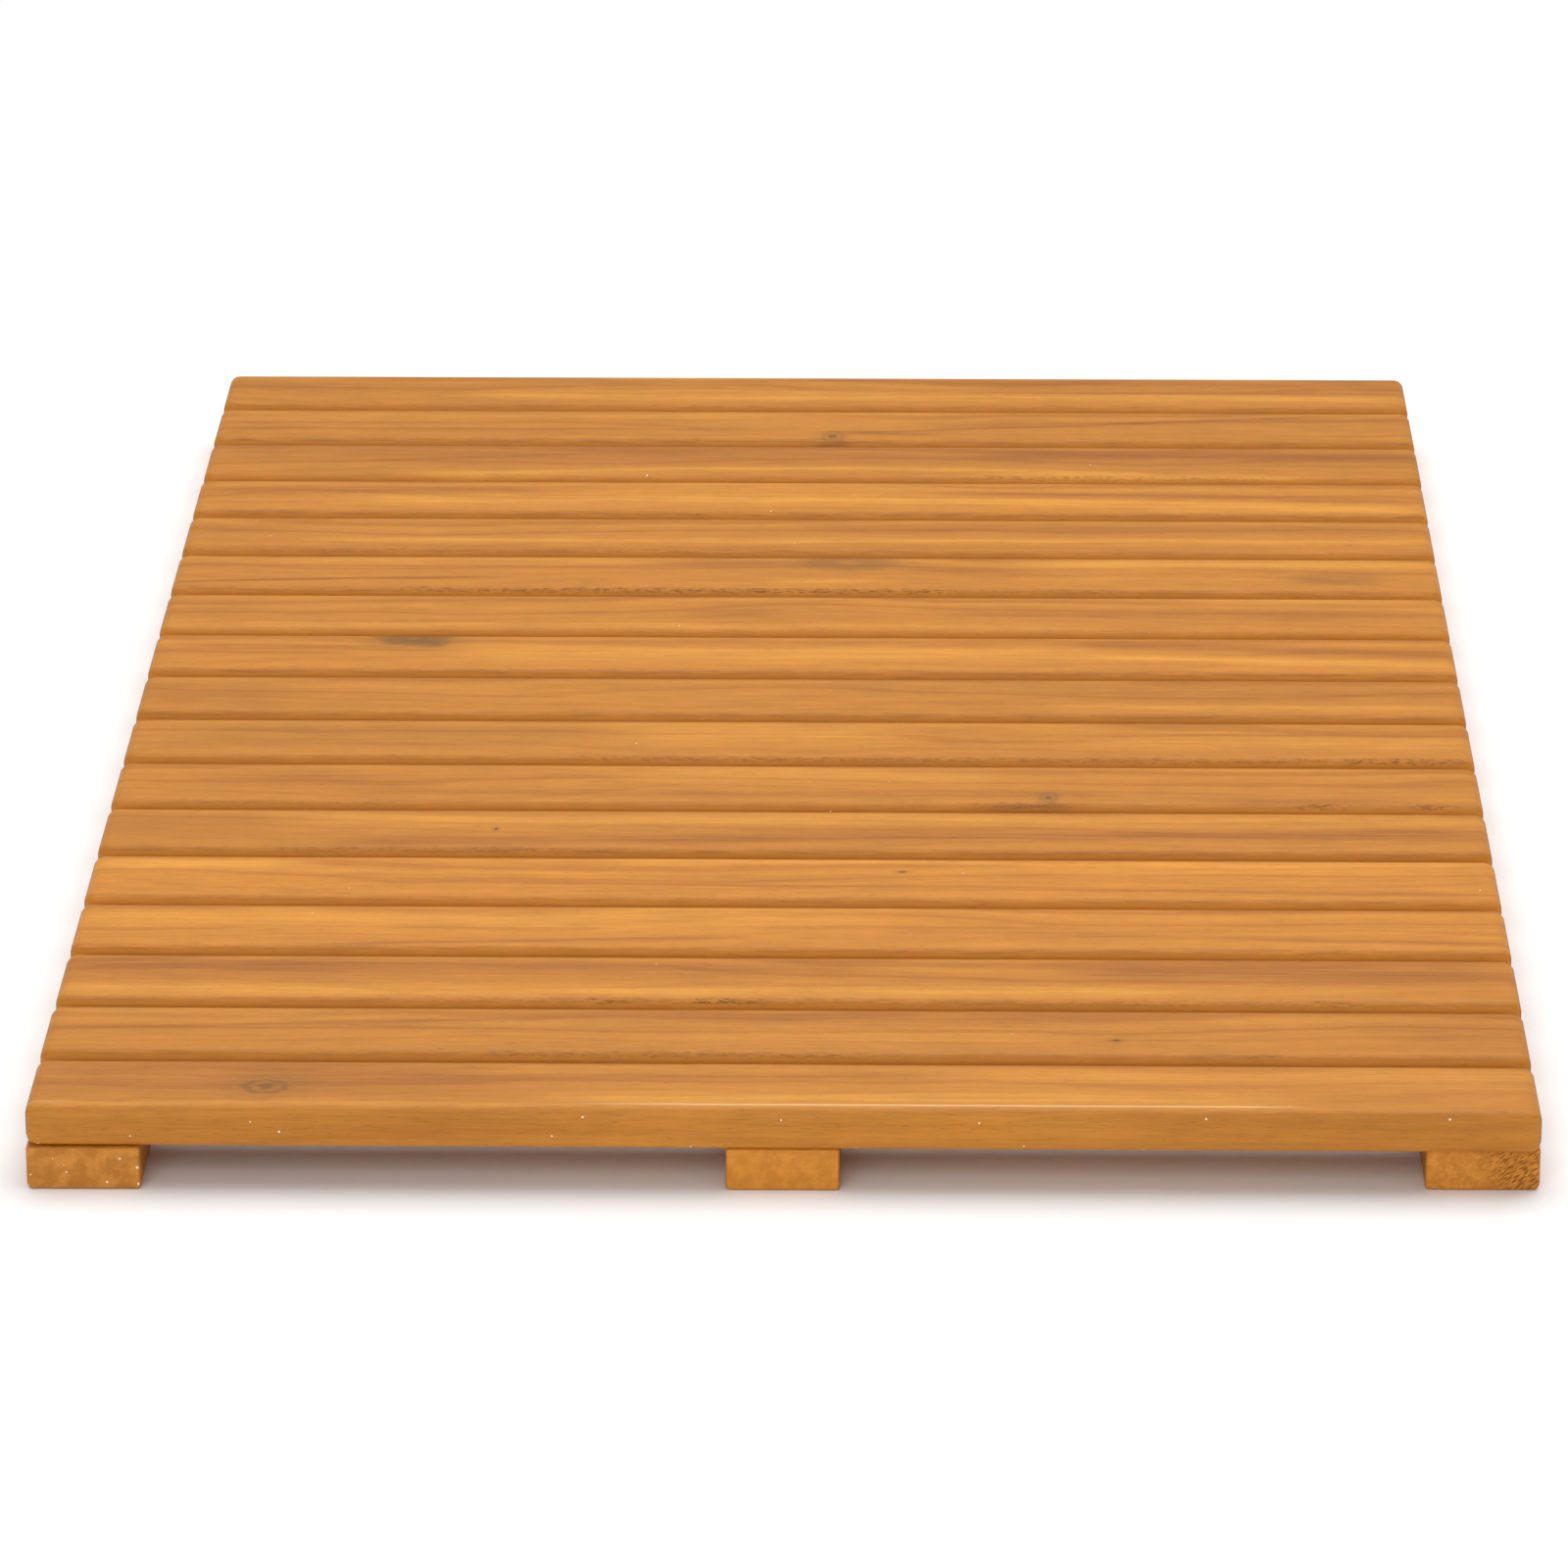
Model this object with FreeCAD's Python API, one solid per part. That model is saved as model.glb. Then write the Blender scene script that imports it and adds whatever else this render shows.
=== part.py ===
"""Slatted wooden bath mat, the kind also called a duckboard.

Slats lie side by side across three lengthwise runners, with an open gap between
neighbours for water to drain through. Every slat is held from below by one
countersunk screw at each runner, so no fastener shows on top.

Frame: +X to the right along the slats, +Y to the back along the runners, +Z up.
The origin is on the floor, under the middle of the mat. Millimetres throughout.
"""
import FreeCAD, Part
import math
import os

# Driving dimensions of the timber
slat_count = 17
slat_length = 500.0
slat_width = 42.0
slat_thickness = 15.0
mat_depth = 800.0
runner_width = 38.0
runner_height = 15.0
runner_length = 794.0       # a little short of the mat's depth
runner_shift = {"left": -2.6, "centre": -0.6, "right": 2.6}   # assembled by hand, not quite level

# Sanded edges
slat_corner_round = 3.0     # the four upright corners, seen from above
slat_top_round = 2.3
slat_bottom_round = 1.2
runner_outer_round = 2.6    # the long bottom edges on the mat's outside
runner_inner_round = 1.5    # the other long bottom edges
runner_top_round = 1.2
runner_end_round = 1.0

# Countersunk wood screw, 3.5 x 25
screw_length = 25.0
screw_shank_radius = 1.75
screw_head_radius = 3.5
screw_rim_height = 0.4
screw_tip_length = 3.0
screw_sunk_depth = 0.6      # how far a head sits above the runner's underside
drive_slot_length = 4.2
drive_slot_width = 0.9
drive_slot_depth = 1.6
clearance_hole_radius = 2.0
head_recess_radius = 3.7

# Worked out
slat_gap = (mat_depth - slat_count * slat_width) / (slat_count - 1)
slat_pitch = slat_width + slat_gap
runner_offset = (slat_length - runner_width) / 2
mat_height = runner_height + slat_thickness
drive_axis = FreeCAD.Vector(0, 0, 1)
runner_places = {"left": -runner_offset, "centre": 0.0, "right": runner_offset}
slat_places = [((slat_count - 1) / 2 - number) * slat_pitch for number in range(slat_count)]


def centred_box(length_x, length_y, height, centre_x, centre_y, floor_z):
    """A box whose plan is centred on a point and whose bottom is at floor_z."""
    corner = FreeCAD.Vector(centre_x - length_x / 2, centre_y - length_y / 2, floor_z)
    return Part.makeBox(length_x, length_y, height, corner)


def edges_where(solid, test):
    """The solid's edges whose bounding box passes a test."""
    return [edge for edge in solid.Edges if test(edge.BoundBox)]


def round_upright_corners(solid, radius):
    def is_upright(box):
        return box.XLength < 1e-6 and box.YLength < 1e-6
    return solid.makeFillet(radius, edges_where(solid, is_upright))


def round_rim(solid, radius, level):
    """Rounds every edge that lies at one height."""
    def is_at_level(box):
        return box.ZLength < 1e-6 and abs(box.ZMin - level) < 1e-6
    return solid.makeFillet(radius, edges_where(solid, is_at_level))


def round_long_edge(solid, x, z, radius):
    """Rounds the lengthwise edge found at one x and one height."""
    def is_there(box):
        return (box.YLength > runner_length / 2 and box.XLength < 1e-6 and box.ZLength < 1e-6
                and abs(box.XMin - x) < 1e-6 and abs(box.ZMin - z) < 1e-6)
    return solid.makeFillet(radius, edges_where(solid, is_there))


def round_end(solid, y, radius):
    """Rounds the whole outline of the end face found at one y."""
    def is_in_end(box):
        return box.YLength < 1e-6 and abs(box.YMin - y) < 1e-6
    return solid.makeFillet(radius, edges_where(solid, is_in_end))


def revolved(profile):
    """A solid of revolution about Z, from (radius, height) points that start and end on the axis."""
    points = [FreeCAD.Vector(radius, 0, height) for radius, height in profile]
    face = Part.Face(Part.makePolygon(points + points[:1]))
    return face.revolve(FreeCAD.Vector(0, 0, 0), drive_axis, 360)


def make_screw():
    """One screw standing on its head at the origin, point up."""
    rim_top = screw_rim_height
    head_top = rim_top + screw_head_radius - screw_shank_radius   # a 90 degree head
    tip_start = screw_length - screw_tip_length
    body = revolved([
        (0, 0), (screw_head_radius, 0), (screw_head_radius, rim_top),
        (screw_shank_radius, head_top), (screw_shank_radius, tip_start), (0, screw_length),
    ])
    slot = centred_box(drive_slot_length, drive_slot_width, drive_slot_depth, 0, 0, 0)
    cross_slot = centred_box(drive_slot_width, drive_slot_length, drive_slot_depth, 0, 0, 0)
    return body.cut(slot.fuse(cross_slot))


def make_runner_hole():
    """The cut for one screw in a runner: head recess, countersink and clearance hole."""
    rim_top = screw_sunk_depth + screw_rim_height
    cone_top = rim_top + screw_head_radius - clearance_hole_radius
    return revolved([
        (0, -1), (head_recess_radius, -1), (head_recess_radius, screw_sunk_depth),
        (screw_head_radius, screw_sunk_depth), (screw_head_radius, rim_top),
        (clearance_hole_radius, cone_top), (clearance_hole_radius, runner_height + 1),
        (0, runner_height + 1),
    ])


def make_pilot_hole():
    """The cut for one screw in a slat, which the shank and the point fill."""
    tip_end = screw_sunk_depth + screw_length
    return revolved([
        (0, runner_height - 1), (screw_shank_radius, runner_height - 1),
        (screw_shank_radius, tip_end - screw_tip_length), (0, tip_end),
    ])


def at(shape, x, y, z=0.0):
    placed = shape.copy()
    placed.translate(FreeCAD.Vector(x, y, z))
    return placed


def make_slat():
    """A slat centred over the origin, with a pilot hole above each runner."""
    slat = centred_box(slat_length, slat_width, slat_thickness, 0, 0, runner_height)
    slat = round_upright_corners(slat, slat_corner_round)
    slat = round_rim(slat, slat_top_round, mat_height)
    slat = round_rim(slat, slat_bottom_round, runner_height)
    pilot = make_pilot_hole()
    for x in runner_places.values():
        slat = slat.cut(at(pilot, x, 0))
    return slat


def make_runner(side):
    """A runner in place, drilled under every slat. Its outer bottom edge is the rounder one."""
    x = runner_places[side]
    middle_y = runner_shift[side]
    runner = centred_box(runner_width, runner_length, runner_height, x, middle_y, 0)
    for face_x in (x - runner_width / 2, x + runner_width / 2):
        is_outer = abs(face_x) > (slat_length - 1) / 2
        bottom_round = runner_outer_round if is_outer else runner_inner_round
        runner = round_long_edge(runner, face_x, 0, bottom_round)
        runner = round_long_edge(runner, face_x, runner_height, runner_top_round)
    for end_y in (middle_y - runner_length / 2, middle_y + runner_length / 2):
        runner = round_end(runner, end_y, runner_end_round)
    hole = make_runner_hole()
    for y in slat_places:
        runner = runner.cut(at(hole, x, y))
    return runner


def make_screw_row(side):
    """The screws of one runner, each a separate solid."""
    screw = make_screw()
    x = runner_places[side]
    return Part.makeCompound([at(screw, x, y, screw_sunk_depth) for y in slat_places])


def export(shape, node):
    shape.exportStep("parts/%s.step" % node)
    solids = len(shape.Solids)
    print("%-14s %2d solid(s), valid %s, volume %.1f cm3" % (node, solids, shape.isValid(), shape.Volume / 1000))


def main():
    os.makedirs("parts", exist_ok=True)
    slat = make_slat()
    for number, y in enumerate(slat_places, start=1):
        export(at(slat, 0, y), "slat_%02d" % number)
    for side in runner_places:
        export(make_runner(side), side + "_runner")
        export(make_screw_row(side), side + "_screws")


main()
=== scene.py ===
import math

import bmesh
import bpy
from mathutils import Matrix, Vector, noise


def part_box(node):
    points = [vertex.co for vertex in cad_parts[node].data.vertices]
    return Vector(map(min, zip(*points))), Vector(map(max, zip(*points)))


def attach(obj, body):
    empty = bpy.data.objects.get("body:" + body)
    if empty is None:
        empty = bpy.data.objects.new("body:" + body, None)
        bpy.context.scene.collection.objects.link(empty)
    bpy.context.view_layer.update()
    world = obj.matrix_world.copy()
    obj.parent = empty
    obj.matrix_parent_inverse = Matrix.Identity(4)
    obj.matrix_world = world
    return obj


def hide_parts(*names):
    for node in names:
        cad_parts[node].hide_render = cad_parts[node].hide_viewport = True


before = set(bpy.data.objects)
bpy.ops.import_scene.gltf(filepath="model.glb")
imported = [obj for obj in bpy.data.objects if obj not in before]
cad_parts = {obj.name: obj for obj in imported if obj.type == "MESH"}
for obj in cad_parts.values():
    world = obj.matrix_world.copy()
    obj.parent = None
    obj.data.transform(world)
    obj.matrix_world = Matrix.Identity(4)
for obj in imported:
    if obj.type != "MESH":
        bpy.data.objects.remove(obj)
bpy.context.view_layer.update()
print("frame loaded:", len(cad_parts), "nodes")

mm = 0.001


def addNode(tree, kind, inputs=None, **settings):
    node = tree.nodes.new(kind)
    for name, value in settings.items():
        setattr(node, name, value)
    for name, value in (inputs or {}).items():
        socket = node.inputs[name]
        if isinstance(value, bpy.types.NodeSocket):
            tree.links.new(value, socket)
        else:
            socket.default_value = value
    return node


def calc(tree, operation, a, b=0.0, c=0.0, clamp=False):
    node = tree.nodes.new("ShaderNodeMath")
    node.operation = operation
    node.use_clamp = clamp
    for socket, value in zip(node.inputs, (a, b, c)):
        if isinstance(value, bpy.types.NodeSocket):
            tree.links.new(value, socket)
        else:
            socket.default_value = value
    return node.outputs[0]


def remap(tree, value, low, high, toLow=0.0, toHigh=1.0, smooth=True):
    node = addNode(tree, "ShaderNodeMapRange", {
        "Value": value, "From Min": low, "From Max": high, "To Min": toLow, "To Max": toHigh,
    }, interpolation_type="SMOOTHSTEP" if smooth else "LINEAR")
    return node.outputs["Result"]


def blendColor(tree, amount, a, b, blendType="MIX"):
    node = tree.nodes.new("ShaderNodeMix")
    node.data_type = "RGBA"
    node.blend_type = blendType
    for socket, value in ((node.inputs[0], amount), (node.inputs[6], a), (node.inputs[7], b)):
        if isinstance(value, bpy.types.NodeSocket):
            tree.links.new(value, socket)
        elif socket.type == "RGBA":
            socket.default_value = (*value[:3], 1.0)
        else:
            socket.default_value = value
    return node.outputs[2]


def newGroup(name, inputs, outputs):
    tree = bpy.data.node_groups.new(name, "ShaderNodeTree")
    for label, kind, default in inputs:
        socket = tree.interface.new_socket(name=label, in_out="INPUT", socket_type=kind)
        if default is not None:
            socket.default_value = default
    for label, kind in outputs:
        tree.interface.new_socket(name=label, in_out="OUTPUT", socket_type=kind)
    return tree, tree.nodes.new("NodeGroupInput"), tree.nodes.new("NodeGroupOutput")


def useGroup(tree, group, **inputs):
    node = tree.nodes.new("ShaderNodeGroup")
    node.node_tree = group
    for name, value in inputs.items():
        label = "".join(" " + letter if letter.isupper() else letter for letter in name)
        socket = node.inputs[label[0].upper() + label[1:]]
        if isinstance(value, bpy.types.NodeSocket):
            tree.links.new(value, socket)
        else:
            socket.default_value = value
    return node


def grainNoise(tree, vector, across, along, detail=2.0, roughness=0.5):
    # noise drawn out along X: across and along are feature sizes in millimetres
    stretch = addNode(tree, "ShaderNodeMapping", {
        "Vector": vector, "Scale": (1 / along, 1 / across, 1 / across)}, vector_type="POINT")
    return addNode(tree, "ShaderNodeTexNoise", {
        "Vector": stretch.outputs[0], "Scale": 1.0, "Detail": detail, "Roughness": roughness,
    }).outputs["Fac"]


floatSocket = "NodeSocketFloat"
vectorSocket = "NodeSocketVector"


def buildGrainGroup():
    # growth rings cut lengthwise, fine streaks, fibres and pores
    tree, into, out = newGroup("longGrain", [
        ("Vector", vectorSocket, None), ("Ring Size", floatSocket, 7.0), ("Drift", floatSocket, 9.0),
        ("Heart", vectorSocket, (0, -55, -40)),
    ], [("Rings", floatSocket), ("Streaks", floatSocket), ("Fibres", floatSocket), ("Pores", floatSocket),
        ("Mottle", floatSocket)])
    vector = into.outputs["Vector"]
    wander = grainNoise(tree, vector, 38.0, 190.0, 2.0, 0.45)
    wander = calc(tree, "MULTIPLY", calc(tree, "SUBTRACT", wander, 0.5), into.outputs["Drift"])
    fromHeart = addNode(tree, "ShaderNodeVectorMath", {0: vector, 1: into.outputs["Heart"]},
                        operation="SUBTRACT")
    flat = addNode(tree, "ShaderNodeVectorMath", {0: fromHeart.outputs[0], 1: (0.0, 1.0, 1.0)},
                   operation="MULTIPLY")
    radius = addNode(tree, "ShaderNodeVectorMath", {0: flat.outputs[0]}, operation="LENGTH")
    radius = calc(tree, "ADD", radius.outputs["Value"], calc(tree, "MULTIPLY", wander, 4.0))
    rings = addNode(tree, "ShaderNodeTexNoise", {
        "W": calc(tree, "DIVIDE", radius, into.outputs["Ring Size"]), "Scale": 1.0, "Detail": 1.0,
        "Roughness": 0.5}, noise_dimensions="1D").outputs["Fac"]
    tree.links.new(remap(tree, rings, 0.25, 0.75, smooth=False), out.inputs["Rings"])
    streaks = grainNoise(tree, vector, 1.5, 75.0, 3.0, 0.6)
    tree.links.new(remap(tree, streaks, 0.25, 0.75, smooth=False), out.inputs["Streaks"])
    fibres = grainNoise(tree, vector, 0.28, 11.0, 2.0, 0.6)
    tree.links.new(fibres, out.inputs["Fibres"])
    mottle = grainNoise(tree, vector, 9.0, 26.0, 3.0, 0.6)
    tree.links.new(remap(tree, mottle, 0.3, 0.7, smooth=False), out.inputs["Mottle"])
    pores = grainNoise(tree, vector, 0.34, 5.0, 1.0, 0.5)
    tree.links.new(remap(tree, pores, 0.66, 0.74), out.inputs["Pores"])
    return tree


def buildBandGroup():
    # one band of differently coloured wood, running along the board and bending a little
    tree, into, out = newGroup("woodBand", [
        ("Vector", vectorSocket, None), ("Place", floatSocket, 0.0), ("Slope", floatSocket, 0.0),
        ("Bow", floatSocket, 0.0), ("Half Width", floatSocket, 3.0), ("Start", floatSocket, -250.0),
        ("Stop", floatSocket, 250.0), ("Fade", floatSocket, 60.0), ("Strength", floatSocket, 1.0),
        ("Wander", floatSocket, 6.0),
    ], [("Mask", floatSocket)])
    split = addNode(tree, "ShaderNodeSeparateXYZ", {0: into.outputs["Vector"]})
    along = calc(tree, "DIVIDE", split.outputs[0], 250.0)
    line = calc(tree, "MULTIPLY_ADD", along, into.outputs["Slope"], into.outputs["Place"])
    line = calc(tree, "MULTIPLY_ADD", calc(tree, "MULTIPLY", along, along), into.outputs["Bow"], line)
    wander = calc(tree, "SUBTRACT", grainNoise(tree, into.outputs["Vector"], 14.0, 90.0, 2.0), 0.5)
    line = calc(tree, "MULTIPLY_ADD", wander, into.outputs["Wander"], line)
    away = calc(tree, "DIVIDE", calc(tree, "SUBTRACT", split.outputs[1], line), into.outputs["Half Width"])
    shape = calc(tree, "EXPONENT", calc(tree, "MULTIPLY", calc(tree, "MULTIPLY", away, away), -1.0))
    fade = into.outputs["Fade"]
    start = remap(tree, split.outputs[0], calc(tree, "SUBTRACT", into.outputs["Start"], fade),
                  calc(tree, "ADD", into.outputs["Start"], fade))
    stop = remap(tree, split.outputs[0], calc(tree, "ADD", into.outputs["Stop"], fade),
                 calc(tree, "SUBTRACT", into.outputs["Stop"], fade))
    ends = calc(tree, "MULTIPLY", start, stop)
    breakUp = remap(tree, grainNoise(tree, into.outputs["Vector"], 1.7, 55.0, 2.0), 0.3, 0.62, 0.45, 1.0)
    mask = calc(tree, "MULTIPLY", calc(tree, "MULTIPLY", shape, ends), breakUp)
    tree.links.new(calc(tree, "MULTIPLY", mask, into.outputs["Strength"], clamp=True), out.inputs["Mask"])
    return tree


def buildKnotGroup():
    # an oval knot: dark core, rings round it, a grey halo
    tree, into, out = newGroup("knot", [
        ("Vector", vectorSocket, None), ("Place", vectorSocket, (0, 0, 0)),
        ("Size", vectorSocket, (10, 5, 30)), ("Rings", floatSocket, 3.0), ("Strength", floatSocket, 1.0),
    ], [("Core", floatSocket), ("Ring", floatSocket), ("Halo", floatSocket)])
    offset = addNode(tree, "ShaderNodeVectorMath", {0: into.outputs["Vector"], 1: into.outputs["Place"]},
                     operation="SUBTRACT")
    scaled = addNode(tree, "ShaderNodeVectorMath", {0: offset.outputs[0], 1: into.outputs["Size"]},
                     operation="DIVIDE")
    distance = addNode(tree, "ShaderNodeVectorMath", {0: scaled.outputs[0]}, operation="LENGTH")
    uneven = calc(tree, "SUBTRACT", grainNoise(tree, into.outputs["Vector"], 2.6, 6.0, 2.0), 0.5)
    reach = calc(tree, "MULTIPLY_ADD", uneven, 0.6, distance.outputs["Value"])
    strength = into.outputs["Strength"]
    core = remap(tree, reach, 0.42, 0.12)
    turns = calc(tree, "MULTIPLY", into.outputs["Rings"], math.tau)
    wave = calc(tree, "SINE", calc(tree, "MULTIPLY", reach, turns))
    inside = remap(tree, reach, 1.15, 0.5)
    ring = calc(tree, "MULTIPLY", remap(tree, wave, 0.0, 0.8), inside)
    halo = remap(tree, reach, 1.7, 0.4)
    for name, value in (("Core", core), ("Ring", ring), ("Halo", halo)):
        tree.links.new(calc(tree, "MULTIPLY", value, strength), out.inputs[name])
    return tree


def buildEndGrainGroup():
    # sawn ends: open pores and ring arcs, found where the surface faces along the grain
    tree, into, out = newGroup("endGrain", [
        ("Vector", vectorSocket, None), ("Facing", floatSocket, 0.0), ("Scale", floatSocket, 1.1),
        ("Roughness", floatSocket, 0.7),
    ], [("Mask", floatSocket), ("Speckle", floatSocket), ("Hatch", floatSocket)])
    mask = remap(tree, calc(tree, "ABSOLUTE", into.outputs["Facing"]), 0.7, 0.97)
    tree.links.new(mask, out.inputs["Mask"])
    speckle = addNode(tree, "ShaderNodeTexNoise", {
        "Vector": into.outputs["Vector"], "Scale": into.outputs["Scale"], "Detail": 4.0,
        "Roughness": into.outputs["Roughness"]}).outputs["Fac"]
    tree.links.new(remap(tree, speckle, 0.36, 0.66), out.inputs["Speckle"])
    turned = addNode(tree, "ShaderNodeMapping", {
        "Vector": into.outputs["Vector"], "Rotation": (math.radians(-36), 0, 0), "Scale": (3.0, 2.6, 0.36)},
        vector_type="TEXTURE")
    hatch = addNode(tree, "ShaderNodeTexNoise", {
        "Vector": turned.outputs[0], "Scale": 1.0, "Detail": 3.0, "Roughness": 0.6}).outputs["Fac"]
    tree.links.new(remap(tree, hatch, 0.46, 0.58), out.inputs["Hatch"])
    return tree


def buildDustGroup():
    # a few pale specks of dust, each a fraction of a millimetre
    tree, into, out = newGroup("dust", [
        ("Vector", vectorSocket, None), ("Spacing", floatSocket, 9.0), ("Size", floatSocket, 0.35),
        ("Amount", floatSocket, 0.2),
    ], [("Mask", floatSocket)])
    spread = addNode(tree, "ShaderNodeVectorMath", {
        0: into.outputs["Vector"], 3: calc(tree, "DIVIDE", 1.0, into.outputs["Spacing"])}, operation="SCALE")
    cells = addNode(tree, "ShaderNodeTexVoronoi", {
        "Vector": spread.outputs[0], "Scale": 1.0, "Randomness": 1.0})
    tone = addNode(tree, "ShaderNodeSeparateColor", {0: cells.outputs["Color"]})
    size = calc(tree, "DIVIDE", into.outputs["Size"], into.outputs["Spacing"])
    size = calc(tree, "MULTIPLY", size, calc(tree, "ADD", tone.outputs[1], 0.5))
    dot = calc(tree, "LESS_THAN", cells.outputs["Distance"], size)
    chosen = calc(tree, "LESS_THAN", tone.outputs[0], into.outputs["Amount"])
    tree.links.new(calc(tree, "MULTIPLY", dot, chosen), out.inputs["Mask"])
    return tree


longGrain = buildGrainGroup()
woodBand = buildBandGroup()
knotGroup = buildKnotGroup()
endGrain = buildEndGrainGroup()
dustGroup = buildDustGroup()

# every board starts from these; a board's own dictionary says how it differs
wood = {
    "tan": (0.500, 0.183, 0.020),
    "honey": (0.700, 0.300, 0.040),
    "brown": (0.330, 0.103, 0.015),
    "grey": (0.280, 0.125, 0.022),
    # dark brown of pores and saw hatch, also used for the painted shade along each slat's front arris
    "arris": (0.250, 0.078, 0.004),
    "burnt": (0.130, 0.040, 0.006),
    "knotRing": (0.205, 0.088, 0.016),
    # painted highlight colour, laid along a rubbed arris
    "glint": (0.900, 0.620, 0.330),
    # painted bounce light colour for the sides that face the gaps between parts
    "side": (0.540, 0.185, 0.009),
    "dust": (0.900, 0.800, 0.620),
    "roughness": 0.46,
    "specular": 0.25,
    "fibreDepth": 0.00010,
    "seed": 1.0,
    "centre": (0, 0, 0),
    "heart": (-60.0, -45.0),        # where the middle of the log lay, mm across and below
    "ringSize": 6.5,
    "drift": 9.0,
    "ringContrast": 0.34,
    "darkRings": 0.55,              # strength of the dark side of a ring beside the light side
    "streakTone": 0.09,
    "mottleTone": 0.06,
    "hairTone": 0.07,
    "poreMix": 0.38,
    "bands": [],
    "bandFade": 45.0,
    "knots": [],
    "knotHalo": 0.5,
    "knotRings": 0.85,
    "knotCore": 0.5,
    "knotDent": -1.5,
    "soak": 0.6,                    # how dark the painted shade makes the front arris
    "tornMix": 0.95,
    "tornDent": -1.5,
    "tornRough": 0.2,
    "sideGlow": 0.0,
    "hatch": 0.3,
    "hatchFrom": (-90.0, -80.0),
    "speckle": (1.1, 0.7),          # scale and roughness of the end grain
    "endDark": (0.40, 0.145, 0.018),
    "endLight": (0.56, 0.225, 0.036),
    "endRough": 0.18,
    "dustSpacing": 7.0,
    "dustSize": 0.25,
    "dustAmount": 0.1,
    "dustOn": "all",                # all, ends or sides
    # painted highlight: bands that pull the colour toward the pale glint, as well as lowering the roughness
    "polish": [],
    "paintedGlintMix": 0.85,
    "polishRough": -0.2,
}
seedStep = (613.0, 97.0, 41.0)      # each board is cut from its own part of the log


def boardCoords(tree, look, alongY):
    # millimetres about the board's own middle, with the grain along X
    coords = addNode(tree, "ShaderNodeTexCoord")
    local = addNode(tree, "ShaderNodeMapping", {
        "Vector": coords.outputs["Object"], "Location": look["centre"],
        "Rotation": (0, 0, math.radians(90) if alongY else 0.0), "Scale": (mm, mm, mm)},
        vector_type="TEXTURE")
    here = local.outputs[0]
    shifted = addNode(tree, "ShaderNodeVectorMath", {
        0: here, 1: tuple(look["seed"] * step for step in seedStep)}, operation="ADD").outputs[0]
    normal = addNode(tree, "ShaderNodeSeparateXYZ", {0: coords.outputs["Normal"]})
    return here, shifted, normal


def growWood(tree, look, here, grain):
    # light and dark rings, then the board's own bands
    rings = grain.outputs["Rings"]
    color = blendColor(tree, calc(tree, "MULTIPLY", rings, look["ringContrast"], clamp=True),
                       look["tan"], look["honey"])
    darkRing = remap(tree, rings, 0.35, 0.0, 0.0, look["ringContrast"] * look["darkRings"])
    color = blendColor(tree, darkRing, color, look["brown"])
    for tint, place, slope, bow, half, start, stop, strength in look["bands"]:
        band = useGroup(tree, woodBand, vector=here, place=place, slope=slope, bow=bow, halfWidth=half,
                        start=start, stop=stop, fade=min(look["bandFade"], (stop - start) / 3),
                        strength=strength)
        color = blendColor(tree, band.outputs[0], color, look[tint])
    return color


def varyTone(tree, look, shifted, grain, color):
    # streaks, mottling and hair-fine lines darken and lighten by a few percent, and pores darken
    hairs = grainNoise(tree, shifted, 0.55, 9.0, 2.0, 0.6)
    tone = 1.0
    for value, low, high, spread in (
            (grain.outputs["Streaks"], 0.0, 1.0, look["streakTone"]),
            (grain.outputs["Mottle"], 0.0, 1.0, look["mottleTone"]),
            (hairs, 0.3, 0.7, look["hairTone"])):
        part = remap(tree, value, low, high, 1 - spread, 1 + spread, smooth=False)
        tone = calc(tree, "MULTIPLY", tone, part)
    toneColor = addNode(tree, "ShaderNodeCombineColor", {0: tone, 1: tone, 2: tone}).outputs[0]
    color = blendColor(tree, 1.0, color, toneColor, "MULTIPLY")
    pores = calc(tree, "MULTIPLY", grain.outputs["Pores"], look["poreMix"])
    return blendColor(tree, pores, color, look["arris"])


def addKnots(tree, look, here, color, height):
    for place, size, ringCount, strength in look["knots"]:
        knot = useGroup(tree, knotGroup, vector=here, place=(*place, 7.5), size=(*size, 40.0),
                        rings=ringCount, strength=strength)
        for part, amount, tint in (("Halo", "knotHalo", "grey"), ("Ring", "knotRings", "knotRing"),
                                   ("Core", "knotCore", "burnt")):
            mix = calc(tree, "MULTIPLY", knot.outputs[part], look[amount])
            color = blendColor(tree, mix, color, look[tint])
        height = calc(tree, "MULTIPLY_ADD", knot.outputs["Core"], look["knotDent"], height)
    return color, height


def shadeAndWearArris(tree, look, shifted, color, height):
    # sanded-over arris with painted shade darkening it toward the gap in front, and torn grain on it
    arris = addNode(tree, "ShaderNodeAttribute", attribute_name="arris").outputs["Fac"]
    tear = addNode(tree, "ShaderNodeAttribute", attribute_name="tear").outputs["Fac"]
    patches = remap(tree, grainNoise(tree, shifted, 1.2, 16.0, 3.0), 0.3, 0.7, 0.35, 1.0)
    soak = calc(tree, "MULTIPLY", calc(tree, "MULTIPLY", arris, patches), look["soak"])
    color = blendColor(tree, soak, color, look["arris"])
    chips = remap(tree, grainNoise(tree, shifted, 0.7, 3.2, 3.0, 0.65), 0.5, 0.62)
    torn = calc(tree, "MULTIPLY", tear, chips)
    tornMix = calc(tree, "MULTIPLY", torn, look["tornMix"], clamp=True)
    color = blendColor(tree, tornMix, color, look["burnt"])
    return color, calc(tree, "MULTIPLY_ADD", torn, look["tornDent"], height), torn


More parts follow.
